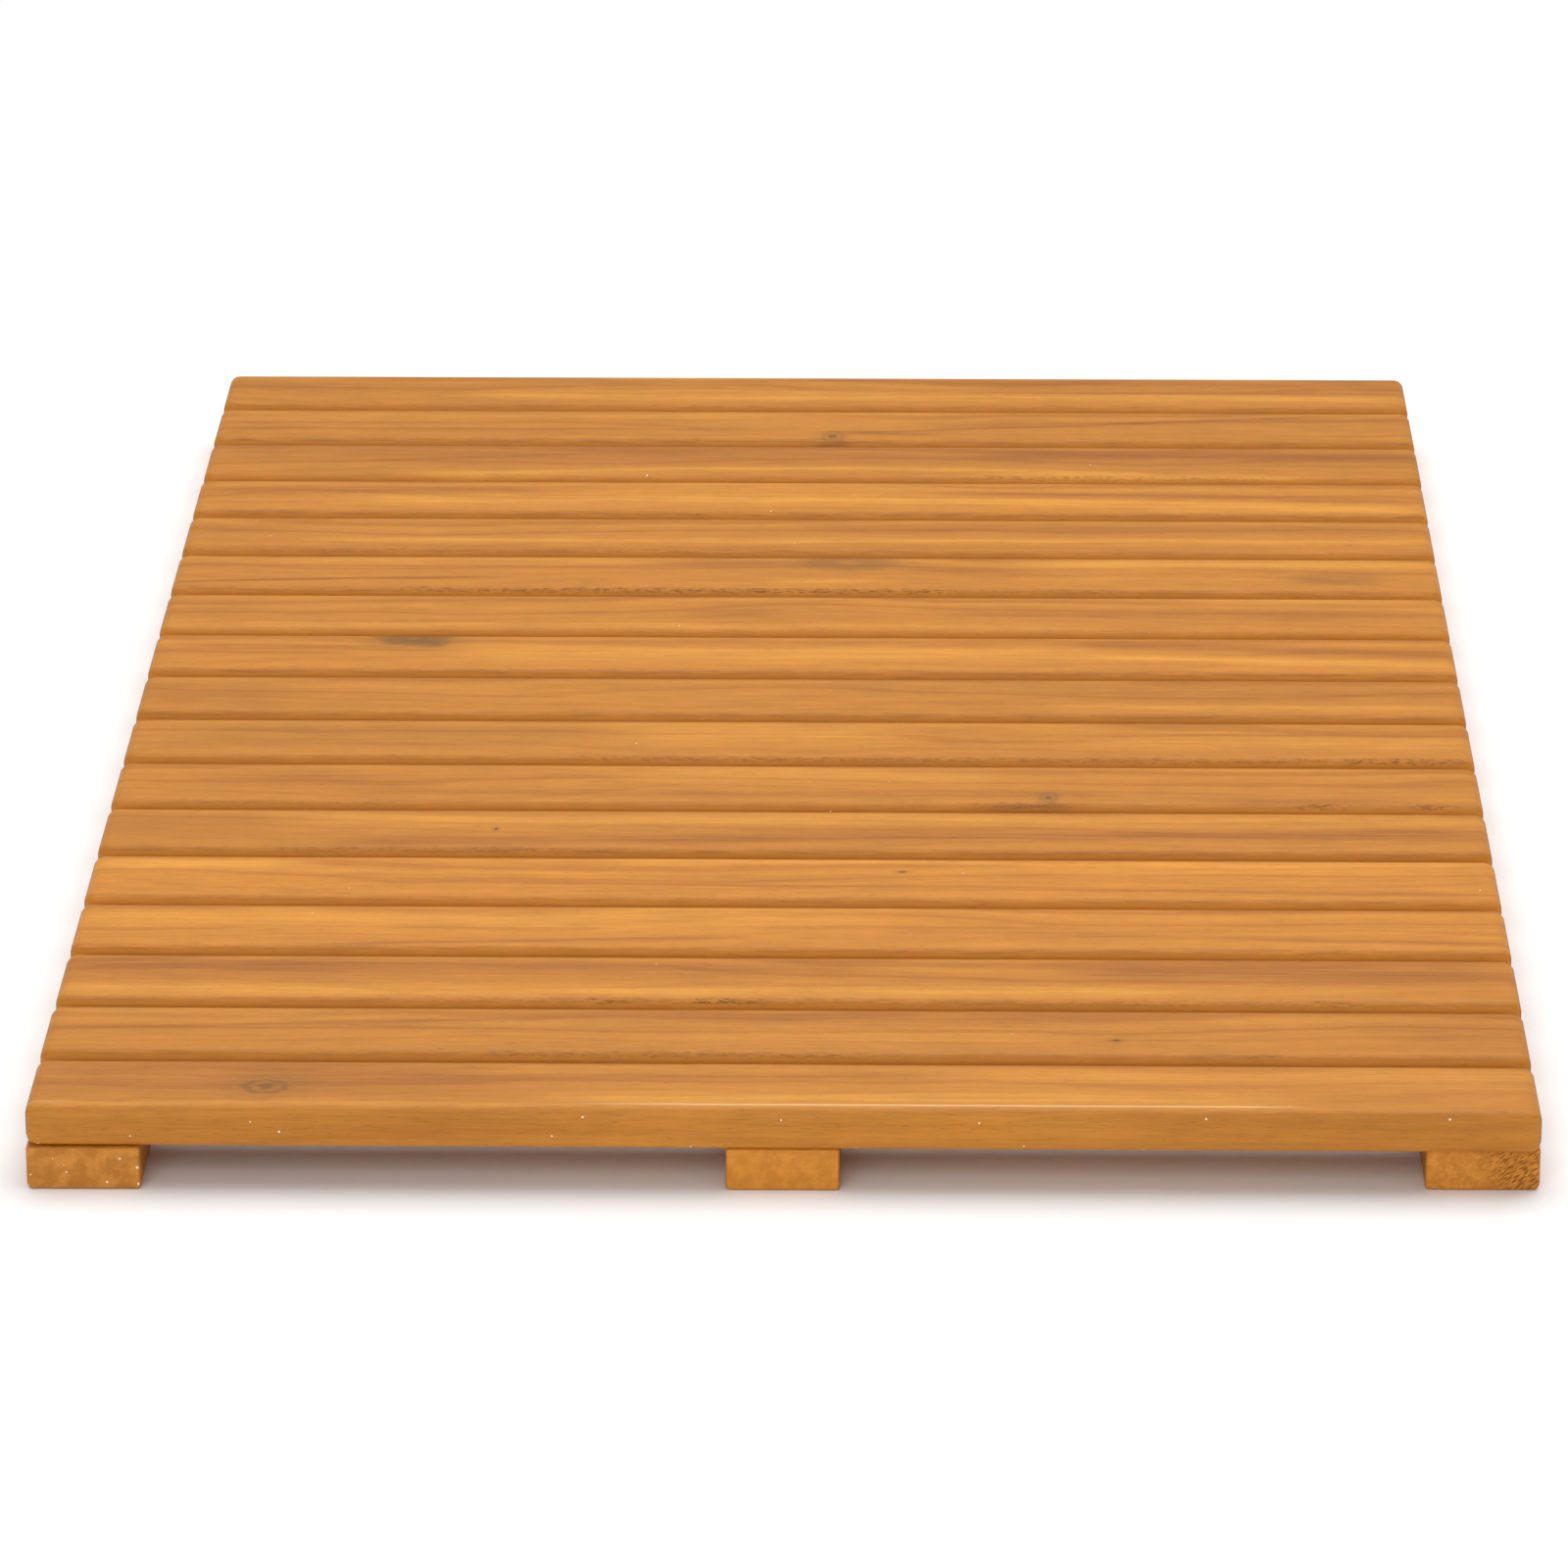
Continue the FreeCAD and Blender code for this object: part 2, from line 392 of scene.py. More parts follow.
def addEnds(tree, look, here, shifted, normal, alongY, color, height):
    # painted bounce light: the sides facing the gaps between the slats are painted lighter and warmer; the
    # sawn ends are open grain
    across, along = (0, 1) if alongY else (1, 0)
    bounceMask = remap(tree, calc(tree, "ABSOLUTE", normal.outputs[across]), 0.55, 0.95, 0.0,
                     look["sideGlow"])
    color = blendColor(tree, bounceMask, color, look["side"])
    scale, roughness = look["speckle"]
    sawn = useGroup(tree, endGrain, vector=shifted, facing=normal.outputs[along], scale=scale,
                    roughness=roughness)
    mask = sawn.outputs["Mask"]
    endColor = blendColor(tree, sawn.outputs["Speckle"], look["endDark"], look["endLight"])
    where = addNode(tree, "ShaderNodeSeparateXYZ", {0: here})
    slanted = calc(tree, "MULTIPLY_ADD", where.outputs[2], -0.6, where.outputs[1])
    hatchArea = remap(tree, slanted, *look["hatchFrom"])
    hatch = calc(tree, "MULTIPLY", calc(tree, "MULTIPLY", sawn.outputs["Hatch"], hatchArea), look["hatch"])
    endColor = blendColor(tree, hatch, endColor, look["arris"])
    color = blendColor(tree, mask, color, endColor)
    openGrain = calc(tree, "MULTIPLY", sawn.outputs["Speckle"], mask)
    return color, calc(tree, "MULTIPLY_ADD", openGrain, 1.6, height), mask


def addDust(tree, look, shifted, normal, endMask, color):
    dust = useGroup(tree, dustGroup, vector=shifted, spacing=look["dustSpacing"],
                    size=look["dustSize"], amount=look["dustAmount"])
    dustMask = dust.outputs[0]
    if look["dustOn"] == "ends":
        dustMask = calc(tree, "MULTIPLY", dustMask, endMask)
    if look["dustOn"] == "sides":
        facing = remap(tree, calc(tree, "ABSOLUTE", normal.outputs[1]), 0.5, 0.9)
        dustMask = calc(tree, "MULTIPLY", dustMask, facing)
    return blendColor(tree, dustMask, color, look["dust"])


def makeWood(name, look, alongY=False):
    material = bpy.data.materials.new(name)
    material.use_nodes = True
    tree = material.node_tree
    tree.nodes.clear()
    here, shifted, normal = boardCoords(tree, look, alongY)
    heart = [place + look["seed"] * step for place, step in zip(look["heart"], seedStep[1:])]
    grain = useGroup(tree, longGrain, vector=shifted, ringSize=look["ringSize"], drift=look["drift"],
                     heart=(0.0, *heart))
    streaks = grain.outputs["Streaks"]
    color = growWood(tree, look, here, grain)
    color = varyTone(tree, look, shifted, grain, color)
    height = calc(tree, "MULTIPLY_ADD", streaks, 0.5, grain.outputs["Fibres"])
    height = calc(tree, "MULTIPLY_ADD", grain.outputs["Pores"], -0.6, height)
    color, height = addKnots(tree, look, here, color, height)
    color, height, torn = shadeAndWearArris(tree, look, shifted, color, height)
    color, height, endMask = addEnds(tree, look, here, shifted, normal, alongY, color, height)
    color = addDust(tree, look, shifted, normal, endMask, color)
    rough = remap(tree, streaks, 0.0, 1.0, look["roughness"] - 0.05, look["roughness"] + 0.06,
                  smooth=False)
    rough = calc(tree, "MULTIPLY_ADD", endMask, look["endRough"], rough)
    rough = calc(tree, "MULTIPLY_ADD", torn, look["tornRough"], rough)
    # painted highlight along the rubbed arris: lower roughness, and the colour pulled toward the pale glint
    for place, half, start, stop, strength in look["polish"]:
        rubbedAndGlint = useGroup(tree, woodBand, vector=here, place=place, halfWidth=half, start=start,
                          stop=stop, fade=12.0, wander=0.4, strength=strength).outputs[0]
        rough = calc(tree, "MULTIPLY_ADD", rubbedAndGlint, look["polishRough"], rough)
        color = blendColor(tree, calc(tree, "MULTIPLY", rubbedAndGlint, look["paintedGlintMix"]), color, look["glint"])
    bump = addNode(tree, "ShaderNodeBump", {
        "Strength": 0.7, "Distance": look["fibreDepth"], "Height": height})
    shader = addNode(tree, "ShaderNodeBsdfPrincipled", {
        "Base Color": color, "Roughness": rough, "Normal": bump.outputs[0],
        "Specular IOR Level": look["specular"], "IOR": 1.45})
    addNode(tree, "ShaderNodeOutputMaterial", {"Surface": shader.outputs[0]})
    return material


def plainBoard(low, high):
    board = bmesh.new()
    bmesh.ops.create_cube(board, size=1.0)
    bmesh.ops.scale(board, vec=high - low, verts=board.verts)
    bmesh.ops.translate(board, vec=(low + high) / 2, verts=board.verts)
    return board


def cutAcross(board, axis, value):
    across = Vector((0, 0, 0))
    across[axis] = 1.0
    bmesh.ops.bisect_plane(board, geom=board.verts[:] + board.edges[:] + board.faces[:], dist=1e-7,
                           plane_co=across * value, plane_no=across)


def divideBoard(board, low, high, axis, size):
    # lines along the flats, one line across near each end, then even divisions between those two
    for side in (1 - axis, 2):
        count = size["widthCuts"] if side != 2 else size["heightCuts"]
        inset = size["flatInset"] if side != 2 else size["sideInset"]
        for index in range(count):
            start, stop = low[side] + inset, high[side] - inset
            cutAcross(board, side, start + (stop - start) * (index + 0.5) / count)
    for value in (low[axis] + size["endPart"], high[axis] - size["endPart"]):
        cutAcross(board, axis, value)
    half = (high[axis] - low[axis]) / 2
    lines = [e for e in board.edges if e.calc_length() > half]
    bmesh.ops.subdivide_edges(board, edges=lines, cuts=size["lengthCuts"], use_grid_fill=True)



sharpFrom = 0.6         # radians between two faces before their edge counts as one to round
onFace = 1e-5           # metres from a face that still counts as on it


def roundEdges(board, radius, segments, wanted):
    edges = [e for e in board.edges if len(e.link_faces) == 2 and e.calc_face_angle(0.0) > sharpFrom
             and all(wanted(v.co) for v in e.verts)]
    bmesh.ops.bevel(board, geom=edges, offset=radius, offset_type="OFFSET", affect="EDGES",
                    segments=segments, profile=0.5, material=-1, clamp_overlap=False)


def atEither(value, low, high):
    return min(value - low, high - value) < onFace


def toObject(board, name, material):
    bmesh.ops.recalc_face_normals(board, faces=board.faces)
    for face in board.faces:
        face.smooth = True
    mesh = bpy.data.meshes.new(name)
    board.to_mesh(mesh)
    board.free()
    obj = bpy.data.objects.new(name, mesh)
    bpy.context.scene.collection.objects.link(obj)
    if material:
        mesh.materials.append(material)
    return obj


drillSteps = 28


def makeDrill(profile, places, name):
    # a cutter: one turned profile, repeated at every screw
    drill = bmesh.new()
    for place in places:
        verts = [drill.verts.new(Vector((radius * mm, 0, height * mm)) + place)
                 for radius, height in profile]
        edges = [drill.edges.new(pair) for pair in zip(verts, verts[1:])]
        bmesh.ops.spin(drill, geom=verts + edges, cent=place, axis=(0, 0, 1), angle=math.tau,
                       steps=drillSteps, use_merge=True)
    bmesh.ops.remove_doubles(drill, verts=drill.verts, dist=1e-6)
    return toObject(drill, name, None)


def drillOut(obj, drill):
    cut = obj.modifiers.new("holes", "BOOLEAN")
    cut.operation = "DIFFERENCE"
    cut.solver = "EXACT"
    cut.object = drill
    bpy.context.view_layer.update()
    done = bpy.data.meshes.new_from_object(obj.evaluated_get(bpy.context.evaluated_depsgraph_get()))
    obj.modifiers.clear()
    old = obj.data
    obj.data = done
    done.name = obj.name
    bpy.data.meshes.remove(old)
    bpy.data.objects.remove(drill)


def finishNormals(obj):
    obj.data.set_sharp_from_angle(angle=math.radians(38))
    weighted = obj.modifiers.new("flat faces stay flat", "WEIGHTED_NORMAL")
    weighted.keep_sharp = True
    weighted.weight = 60


def takePlace(piece, node):
    finishNormals(piece)
    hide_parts(node)
    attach(piece, "root")


def unevenness(x, y, seed):
    return noise.noise(Vector((x, y, seed)))


slat = {
    "topRound": 3.3 * mm,
    "topDrop": 2.1 * mm,
    "bottomRound": 1.1 * mm,
    "cornerRound": 3.9 * mm,
    "endPart": 6.0 * mm,
    "flatInset": 4.0 * mm,
    "sideInset": 2.5 * mm,
    "lengthCuts": 330,
    "widthCuts": 6,
    "heightCuts": 2,
    "sideWave": 0.20 * mm,
    "sideReach": 6.0 * mm,
    "topWave": 0.07 * mm,
    "topReach": 4.0 * mm,
    "arrisReach": 2.1 * mm,
    "arrisFlat": 0.4,         # share of the rounding that is fully arris
    "arrisBand": 5.0 * mm,
    "arrisWave": 0.55 * mm,
    "tearDepth": 0.75 * mm,
    "tearFade": 12.0,         # mm over which a tear comes in at its ends
    "shortBy": 0.4 * mm,      # slats are cut a hair short, so that they can sit unevenly
    "bandFade": 22.0,
    "sideGlow": 0.5,          # painted bounce light in the gaps, on every slat but the front one, whose side is in the open
    "pilot": [(0, 14.0), (1.75, 14.0), (1.75, 22.6), (0, 25.6)],
}


def arrisAmount(fromFront, fromTop):
    # 1 along the front top edge, falling smoothly to 0
    if fromFront >= slat["arrisBand"]:
        return 0.0
    away = math.hypot(max(fromFront - slat["arrisFlat"] * slat["topRound"], 0.0),
                      max(fromTop - slat["arrisFlat"] * slat["topDrop"], 0.0))
    amount = max(0.0, 1.0 - away / slat["arrisReach"])
    return amount * amount * (3 - 2 * amount)


def tearAmount(tears, x):
    amount = 0.0
    for start, stop, strength in tears:
        inside = min(x - start, stop - x)
        if inside > -4:
            amount = max(amount, strength * min(1.0, max(0.0, inside / slat["tearFade"] + 0.35)))
    return amount


def wearSlat(board, low, high, tears, seed):
    # hand sanding leaves no edge quite straight; torn grain chips the front arris
    arrisLayer = board.verts.layers.float.new("arris")
    tearLayer = board.verts.layers.float.new("tear")
    for vert in board.verts:
        fromFront = vert.co.y - low.y
        fromBack = high.y - vert.co.y
        fromTop = high.z - vert.co.z
        arris = arrisAmount(fromFront, fromTop)
        at = vert.co / mm
        wave = unevenness(at.x / 60, at.y / 30, seed * 17.3)
        inwards = 1.0 if fromFront < fromBack else -1.0
        sideness = max(0.0, 1.0 - min(fromFront, fromBack) / slat["sideReach"])
        move = Vector((0, inwards * sideness * slat["sideWave"] * (0.5 + 0.5 * wave), 0))
        if fromTop < slat["topReach"]:
            move.z -= slat["topWave"] * (0.5 + 0.5 * unevenness(at.x / 80, at.y / 12, seed * 3.7))
        tear = 0.0
        if arris > 0.0:
            tear = tearAmount(tears, at.x)
            fine = unevenness(at.x / 9, at.z / 6, seed * 5.1)
            soften = arris * slat["arrisWave"] * (0.35 + 0.45 * wave + 0.3 * fine)
            chip = (unevenness(at.x / 2.6, at.z / 1.6, seed * 9.7) * 0.6
                    + unevenness(at.x / 7.5, at.y / 2.5, seed) * 0.7)
            chip = max(0.0, chip) * tear * slat["tearDepth"] * arris
            move += Vector((0, 0.7, -0.7)) * (max(0.0, soften) + chip)
        vert.co += move
        vert[arrisLayer] = arris
        vert[tearLayer] = tear * min(1.0, arris * 1.6)


# each slat's own figure, back to front. Bands are (tint, place, slope, bow, half width, start, stop,
# strength) in millimetres about the slat's middle; knots (place, size, rings, strength);
# tears (start, stop, strength) along the front arris; shift is how far the slat sits to one side,
# tone how light it is overall, and the third value how dark the painted shade makes its front arris.
slatFigures = [
    {"shift": 0.2, "tone": 0.96, "soak": 0.6, "bands": [
        ("honey", -9, -1, 0, 5.0, -140, 250, 0.95), ("honey", -1, 0, 0, 2.5, -110, 70, 0.5),
        ("brown", 10, 0, 0, 6.0, 60, 250, 0.5), ("brown", -2, 0, 0, 1.3, 110, 250, 0.6),
        ("brown", 3, 0, 0, 7.0, -245, -190, 0.45), ("brown", 13, 0, 0, 2.5, -200, 40, 0.3)]},
    {"shift": 0.2, "tone": 0.96, "soak": 0.75, "bands": [
        ("brown", -4.5, 2.5, 0, 1.4, -250, -25, 0.7), ("brown", -12.5, 30.5, 0, 2.0, 40, 215, 0.85),
        ("brown", -6, 17, 0, 2.0, 130, 250, 0.5), ("brown", -9, -15, 0, 2.2, 12, 46, 0.9),
        ("burnt", -20.6, 0, 0, 1.0, 2, 14, 0.9),
        ("honey", 14, 0, 0, 5.0, -250, 60, 0.45), ("honey", -2, 0, 0, 3.5, -60, 60, 0.4)],
        "knots": [((8.3, -15.0), (5.0, 6.5), 1.3, 1.0)], "knotCore": 0.1},
    {"shift": 0.2, "tone": 0.96, "soak": 0.35, "bands": [
        ("brown", 8, 0, 0, 11.0, -250, 250, 0.5), ("brown", 20.7, 31.6, 0, 1.6, -190, -70, 0.6),
        ("brown", 10, -4, 0, 4.5, 75, 250, 0.85), ("grey", -5.6, 0, 0, 1.8, 185, 250, 0.5),
        ("honey", -10.2, 0, -28, 2.7, -170, 150, 1.0), ("honey", -19, 0, 0, 2.0, 70, 200, 0.9),
        ("honey", -17, 0, 0, 2.0, -160, -60, 0.5)],
        "tears": [(60, 190, 0.45)]},
    {"shift": 0.0, "tone": 1.03, "soak": 0.9, "bands": [
        ("brown", 8, 2, 0, 6.0, -250, -105, 0.65), ("honey", -3.5, -4, -9, 6.5, -190, 250, 0.95),
        ("brown", 8, -9, -3, 3.2, 60, 250, 0.7), ("honey", 17, 0, 0, 3.0, -60, 100, 0.35)]},
    {"shift": -0.1, "tone": 0.99, "soak": 0.6, "bands": [
        ("brown", 8, 0, 0, 6.5, 0, 250, 0.45), ("honey", -8, 0.5, 0, 3.2, -190, 250, 0.85),
        ("brown", 4, 0, 0, 7.0, -250, -205, 0.4), ("brown", -17, 0, 0, 2.0, -250, 120, 0.3)],
        "tears": [(-200, 40, 0.25)]},
    {"shift": -0.2, "tone": 1.0, "soak": 0.7, "bands": [
        ("brown", 0.5, 13.3, 0, 1.1, -250, -130, 1.0), ("brown", 8, 2, 0, 1.6, -250, -60, 0.4),
        ("honey", 15, 0, 0, 3.6, -195, -55, 0.65), ("brown", 11, 4, 0, 4.0, -60, -5, 0.65),
        ("brown", 6, -12, 0, 4.0, 40, 90, 0.65), ("honey", -11, 0, 0, 3.4, -12, 30, 0.7),
        ("honey", 13, 0, 0, 6.0, 85, 250, 1.0), ("honey", -8, 0, 0, 4.5, 100, 180, 0.35)],
        "knots": [((16.5, 12.0), (24, 10.0), 0.4, 0.5), ((209, -5), (22, 9.0), 0.4, 0.28)],
        "knotCore": 0.12, "tears": [(-160, 60, 0.7), (60, 130, 0.35)]},
    {"shift": -0.2, "tone": 0.99, "soak": 0.25, "bands": [
        ("brown", -2, 0, 0, 8.0, -45, -8, 0.4), ("brown", -1, 0, 0, 5.5, 55, 225, 0.5),
        ("honey", 16, 0, 0, 5.0, 150, 250, 0.75), ("honey", -15.5, 0, 0, 2.6, -250, 100, 0.6),
        ("brown", 2, 0, 0, 6.0, -250, -200, 0.3)]},
    {"shift": -0.2, "tone": 1.04, "soak": 0.8, "bands": [
        ("brown", 5.6, 0, 0, 2.6, -240, -170, 0.65), ("brown", -2, 0, 0, 2.0, -250, -180, 0.5),
        ("honey", -1, 0, 0, 9.0, -130, 96, 0.8), ("brown", 22, -22, 0, 5.5, 110, 250, 0.7),
        ("honey", 5, -17, 0, 4.5, 100, 250, 0.95)],
        "knots": [((-150, 16.0), (18, 11.0), 0.5, 0.85), ((-143, 9), (8, 4.5), 0.5, 0.5)],
        "knotCore": 0.4},
    {"shift": -0.1, "tone": 0.97, "soak": 0.7, "bands": [
        ("brown", 0, 0, 0, 14.0, -250, -190, 0.35), ("grey", 12, 0, 0, 5.0, 0, 110, 0.22),
        ("honey", -12.4, 1, 0, 3.2, 96, 250, 0.8), ("brown", 4, 0, 0, 9.0, 90, 250, 0.35),
        ("honey", 0, 0, 0, 7.0, -150, -10, 0.25)]},
    {"shift": -0.1, "tone": 0.99, "soak": 0.6, "bands": [
        ("grey", 4, -2, 0, 12.0, -225, -85, 0.28), ("honey", 5, 0, 0, 11.0, -65, 35, 0.7),
        ("brown", 5, 0, 0, 1.7, 120, 250, 0.6), ("honey", -4, 0, 0, 6.0, 100, 250, 0.6),
        ("honey", -5, 0, 0, 4.0, 215, 240, 0.6), ("brown", -7, 0, 0, 3.0, -220, -120, 0.35)],
        "tears": [(-85, 200, 0.45), (198, 245, 1.0)]},
    {"shift": -0.1, "tone": 1.0, "soak": 0.45, "bands": [
        ("brown", 3, 0, 0, 11.0, -215, -150, 0.45), ("honey", 8.6, 0, 0, 7.5, -60, 70, 0.6),
        ("brown", -10, 0, 0, 3.4, -160, 120, 0.45), ("burnt", -20.5, 0, 0, 1.3, 66, 99, 0.8),
        ("brown", -16, 0, 0, 3.5, 150, 215, 0.5)],
        "knots": [((91.8, -13.0), (3.6, 5.0), 1.4, 1.0)], "knotCore": 0.1,
        "tears": [(-225, -150, 0.3), (60, 100, 0.5), (180, 200, 0.9), (222, 240, 0.7)]},
    {"shift": -0.1, "tone": 0.99, "soak": 0.75, "bands": [
        ("honey", 9.4, 0, 0, 6.0, -180, 30, 0.65), ("brown", -8, 7, -3, 4.6, -160, 250, 0.8),
        ("honey", 11, 1, 0, 5.0, 30, 250, 0.7), ("brown", 3, 0, 0, 12.0, -250, -185, 0.35),
        ("brown", 0, 0, 0, 4.0, 205, 235, 0.5)],
        "knots": [((-107.7, -0.4), (1.5, 2.2), 1.0, 1.0)], "knotCore": 1.0,
        "tears": [(-190, -60, 0.35)]},
    {"shift": -0.1, "tone": 1.10, "soak": 0.6, "bands": [
        ("honey", 12, 0, 0, 7.0, -250, -178, 0.9), ("honey", 15, 0, 0, 3.2, -60, 250, 0.75),
        ("brown", -8, -7, 0, 1.8, -100, 250, 0.65), ("brown", -1, 0, 0, 5.0, -40, 30, 0.3),
        ("honey", 6, 0, 0, 3.0, 90, 220, 0.4)],
        "knots": [((38.6, 6.0), (3.2, 1.8), 1.0, 0.8)], "knotCore": 0.8},
    {"shift": 0.0, "tone": 1.08, "soak": 0.65, "bands": [
        ("honey", 5, 0, 0, 9.0, -250, 30, 0.55), ("brown", -9, 14, 0, 1.5, -155, -25, 0.7),
        ("brown", 0, 0, 0, 1.6, -15, 85, 0.45), ("brown", -2, -12, 0, 1.8, 80, 250, 0.65),
        ("brown", 17.5, 0, 0, 1.6, 138, 185, 0.75)]},
    {"shift": 0.0, "tone": 1.0, "soak": 0.6, "bands": [
        ("brown", 8, 0, 0, 9.0, -250, -150, 0.85), ("brown", 9, 0, 0, 7.0, -150, 30, 0.45),
        ("brown", 6, 0, 0, 8.5, 96, 250, 0.8), ("honey", -12.7, 0, 0, 4.6, -250, 130, 1.0),
        ("honey", -11, 0, 0, 4.0, 50, 200, 0.6)],
        "tears": [(-70, -54, 1.0), (-37, -6, 1.0), (176, 191, 1.0), (-120, 200, 0.3)]},
    {"shift": -0.2, "tone": 0.99, "soak": 0.6, "bands": [
        ("brown", 16.7, 19.4, 0, 1.6, -245, -60, 0.65), ("brown", 10, 0, 0, 5.5, -60, 120, 0.45),
        ("brown", 0, 0, 0, 14.0, 205, 250, 0.45), ("honey", -6, 0, 0, 6.0, -40, 90, 0.4),
        ("honey", 14, 0, 0, 4.0, -250, -150, 0.4)],
        "knots": [((111, -7), (3.2, 1.8), 1.0, 0.9)], "knotCore": 0.9,
        "tears": [(-100, 30, 0.45), (155, 165, 0.6)]},
    {"shift": -0.1, "tone": 0.99, "soak": 0.35, "bands": [
        ("brown", 3, 0, 0, 14.0, -250, -95, 0.6), ("brown", 7.5, 3, 0, 2.6, -145, 40, 0.5),
        ("honey", -11, 0, 0, 5.5, -70, 165, 1.0), ("honey", -17, 0, 0, 2.2, -250, -70, 0.5),
        ("brown", -26, 0, 0, 5.0, -250, -70, 0.6), ("brown", -26, 0, 0, 5.0, 120, 250, 0.55),
        ("honey", 8, 0, 0, 8.0, 60, 250, 0.45)],
        "knots": [((-171.4, -3.4), (12.5, 9.0), 2.2, 0.75)], "knotCore": 0.3,
        "dustSpacing": 5.0, "dustSize": 0.36, "dustAmount": 0.2, "dustOn": "sides",
        # painted highlight along the front arris, and a painted spot of it at the left end
        "polish": [(-16.4, 0.5, -62, 165, 1.0), (-16.4, 0.5, -249, -240, 0.8)]},
]


def tinted(look, tone):
    for name in ("tan", "honey", "brown"):
        look[name] = tuple(channel * tone for channel in look[name])
    return look


def easeSlat(board, low, high):
    roundEdges(board, slat["cornerRound"], 4,
               lambda co: atEither(co.x, low.x, high.x) and atEither(co.y, low.y, high.y))
    # the top edges are eased further across than down: stretch the height while they are rounded
    stretchUp = slat["topRound"] / slat["topDrop"]
    fromBelow = Matrix.Translation((0, 0, -low.z))
    bmesh.ops.scale(board, vec=(1, 1, stretchUp), space=fromBelow, verts=board.verts)
    stretched = low.z + (high.z - low.z) * stretchUp
    roundEdges(board, slat["topRound"], 6, lambda co: co.z > stretched - onFace)
    bmesh.ops.scale(board, vec=(1, 1, 1 / stretchUp), space=fromBelow, verts=board.verts)
    roundEdges(board, slat["bottomRound"], 3, lambda co: co.z < low.z + onFace)


runnerNames = ("left_runner", "centre_runner", "right_runner")
runnerMiddles = [sum(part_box(name), Vector()) / 2 for name in runnerNames]
notLooks = ("shift", "tone", "tears")

for number, figure in enumerate(slatFigures, start=1):
    node = "slat_%02d" % number
    low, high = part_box(node)
    middle = (low + high) / 2
    low.x += slat["shortBy"] / 2 + figure["shift"] * mm
    high.x -= slat["shortBy"] / 2 - figure["shift"] * mm
    board = plainBoard(low, high)
    easeSlat(board, low, high)
    divideBoard(board, low, high, 0, slat)
    wearSlat(board, low, high, figure.get("tears", []), number * 1.37)
    own = {name: value for name, value in figure.items() if name not in notLooks}
    look = {**wood, "seed": float(number), "centre": tuple(middle), "bandFade": slat["bandFade"],
            "sideGlow": slat["sideGlow"] if number < len(slatFigures) else 0.0, **own}
    piece = toObject(board, node + "_board", makeWood(node + "_wood", tinted(look, figure["tone"])))
    places = [Vector((runnerMiddle.x, middle.y, 0)) for runnerMiddle in runnerMiddles]
    drillOut(piece, makeDrill(slat["pilot"], places, "pilotDrill"))
    takePlace(piece, node)
print("slats made:", len(slatFigures))

runner = {
    "outerRound": 2.6 * mm,
    "innerRound": 1.4 * mm,
    "outerAt": 0.249,         # a side further out than this is the mat's own edge
    "topRound": 0.9 * mm,
    "endRound": 0.9 * mm,
    "endPart": 3.0 * mm,
    "flatInset": 3.0 * mm,
    "sideInset": 3.0 * mm,
    "lengthCuts": 260,
    "widthCuts": 5,
    "heightCuts": 2,
    "wave": 0.25 * mm,
    "waveFrom": 12.0 * mm,
    "waveOver": 7.0 * mm,
    "topKept": 2.0 * mm,      # the top stays flat under the slats
    "endReach": 4.0 * mm,
    "hole": [(0, -1), (3.7, -1), (3.7, 0.6), (3.5, 0.6), (3.5, 1.0), (2.0, 2.5), (2.0, 16), (0, 16)],
}
# the runner sides get the painted bounce light too
runnerWood = {"ringSize": 5.0, "sideGlow": 0.5, "hatch": 0.1, "speckle": (0.22, 0.55),
              "dustSpacing": 3.4, "dustAmount": 0.06, "dustSize": 0.36, "dustOn": "ends"}
runnerFigures = {
    "left_runner": {
        "seed": 3.3, "endDark": (0.480, 0.185, 0.026), "endLight": (0.640, 0.260, 0.044),
        "dustAmount": 0.35},
    "centre_runner": {
        "seed": 7.9, "endDark": (0.610, 0.232, 0.027), "endLight": (0.730, 0.292, 0.039)},
    "right_runner": {
        "seed": 5.2, "endDark": (0.560, 0.215, 0.026), "endLight": (0.720, 0.290, 0.042),
        "hatch": 0.95, "speckle": (0.5, 0.65), "hatchFrom": (4.0, -8.0)},
}


def easeRunner(board, low, high):
    for face in (low.x, high.x):
        isOuter = abs(face) > runner["outerAt"]
        roundEdges(board, runner["outerRound"] if isOuter else runner["innerRound"], 5,
                   lambda co: abs(co.x - face) < onFace and co.z < low.z + onFace)
        roundEdges(board, runner["topRound"], 3,
                   lambda co: abs(co.x - face) < onFace and co.z > high.z - onFace)
    roundEdges(board, runner["endRound"], 3, lambda co: atEither(co.y, low.y, high.y))


def wearRunner(board, low, high, middle, seed):
    # sides and ends are planed by hand and a little uneven
    for vert in board.verts:
        at = vert.co / mm
        side = vert.co.x - middle.x
        sideness = max(0.0, (abs(side) - runner["waveFrom"]) / runner["waveOver"])
        wave = 0.5 + 0.5 * unevenness(at.y / 70, at.z / 20, seed)
        vert.co.x -= math.copysign(runner["wave"] * wave * sideness, side)
        fromEnd = (high.y - low.y) / 2 - abs(vert.co.y - middle.y)
        if vert.co.z < high.z - runner["topKept"] and fromEnd < runner["endReach"]:
            inwards = -math.copysign(1.0, vert.co.y - middle.y)
            wave = 0.5 + 0.5 * unevenness(at.x / 5, at.z / 4, seed * 3)
            vert.co.y += inwards * runner["wave"] * wave


